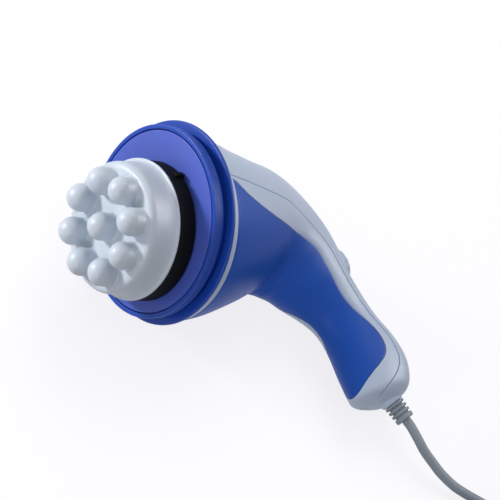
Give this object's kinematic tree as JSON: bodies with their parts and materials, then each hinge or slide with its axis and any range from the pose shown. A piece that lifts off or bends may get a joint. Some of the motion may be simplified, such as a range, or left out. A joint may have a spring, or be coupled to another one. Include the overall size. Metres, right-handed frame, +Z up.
{
  "type": "orbital body massager",
  "caption": "Hand-held orbital body massager: curved two-shell housing with a wrap-round grip, brush motor, eccentric drive and a studded applicator, on a mains cord.",
  "frame": {"origin": "centre of the unit's footprint, on the surface that it lies on, the cord and plug left out", "axes": "+X from the tail to the head, +Z up from the surface, +Y towards the hollow side of the handle"},
  "size_m": [0.3513, 0.1737, 0.1056],
  "materials": {
    "light_shell": "smooth moulded plastic, soft gloss",
    "blue_grip": "smooth moulded plastic, soft gloss",
    "blue_ring": "smooth moulded plastic, glossy",
    "lilac_cover": "smooth moulded plastic, soft gloss",
    "white_head": "polished off-white plastic",
    "black_plastic": "matt black plastic",
    "light_cord": "soft cord sheath, satin",
    "steel": "plain bright steel",
    "zinc": "die-cast zinc, as cast",
    "aluminium": "bent sheet aluminium",
    "brass": "turned brass",
    "copper": "enamelled copper wire",
    "ferrite": "sintered, dull black",
    "laminate": "green board laminate",
    "cream_plastic": "cream plastic film box"
  },
  "bodies": {
    "housing": {"back_shell": "light_shell", "front_shell": "light_shell", "grip_panel": "blue_grip", "shell_screw_1": "steel", "shell_screw_2": "steel", "shell_screw_3": "steel", "shell_screw_4": "steel", "head_ring": "blue_ring", "front_cover": "lilac_cover", "motor_bracket": "steel", "bracket_screw_1": "steel", "bracket_screw_2": "steel", "bracket_screw_3": "steel", "motor_screw_1": "steel", "motor_screw_2": "steel", "motor_end_cap": "black_plastic", "carbon_brush_1": "ferrite", "magnet_1": "ferrite", "carbon_brush_2": "ferrite", "magnet_2": "ferrite", "motor_can": "steel", "rear_bush": "brass", "front_bearing": "steel", "potentiometer": "steel", "speed_control_board": "laminate", "board_screw_1": "steel", "board_screw_2": "steel", "capacitor": "cream_plastic", "rectifier": "black_plastic", "triac": "black_plastic", "heat_sink": "aluminium", "choke": "copper", "strain_relief": "light_cord", "cord_clamp": "black_plastic", "clamp_screw_1": "steel", "clamp_screw_2": "steel", "supply_lead": "light_cord", "motor_lead_1": "black_plastic", "motor_lead_2": "black_plastic", "mains_cord": "light_cord", "cord_coil": "light_cord", "plug_lead": "light_cord", "cord_tie": "black_plastic", "plug_body": "light_cord", "plug_pin_1": "brass", "plug_pin_2": "brass"},
    "rotor": {"rotor_shaft": "steel", "armature_core": "steel", "winding_front": "copper", "winding_rear": "copper", "commutator": "copper", "cooling_fan": "black_plastic", "eccentric_hub": "zinc", "counterweight": "zinc", "eccentric_pin": "steel", "pin_clip": "steel"},
    "carrier": {"carrier": "black_plastic", "carrier_bearing": "steel"},
    "applicator": {"applicator": "white_head"},
    "dial": {"speed_dial": "light_shell"}
  },
  "joints": [
    {"name": "rotor_spin", "type": "hinge", "parent": "housing", "child": "rotor", "pos_m": [0.05677, 0.0056, 0.05298], "axis": [0.6943, 0.639, 0.331], "continuous": true},
    {"name": "carrier_spin", "type": "hinge", "parent": "rotor", "child": "carrier", "pos_m": [0.0543, 0.00951, 0.0506], "axis": [0.6943, 0.639, 0.331], "continuous": true},
    {"name": "applicator_pull", "type": "slide", "parent": "carrier", "child": "applicator", "axis": [0.6943, 0.639, 0.331], "range_m": [0, 0.025]},
    {"name": "dial_turn", "type": "hinge", "parent": "housing", "child": "dial", "pos_m": [-0.0317, -0.04709, 0.01862], "axis": [-0.3612, -0.8757, -0.3203], "range_deg": [0, 270]}
  ]
}
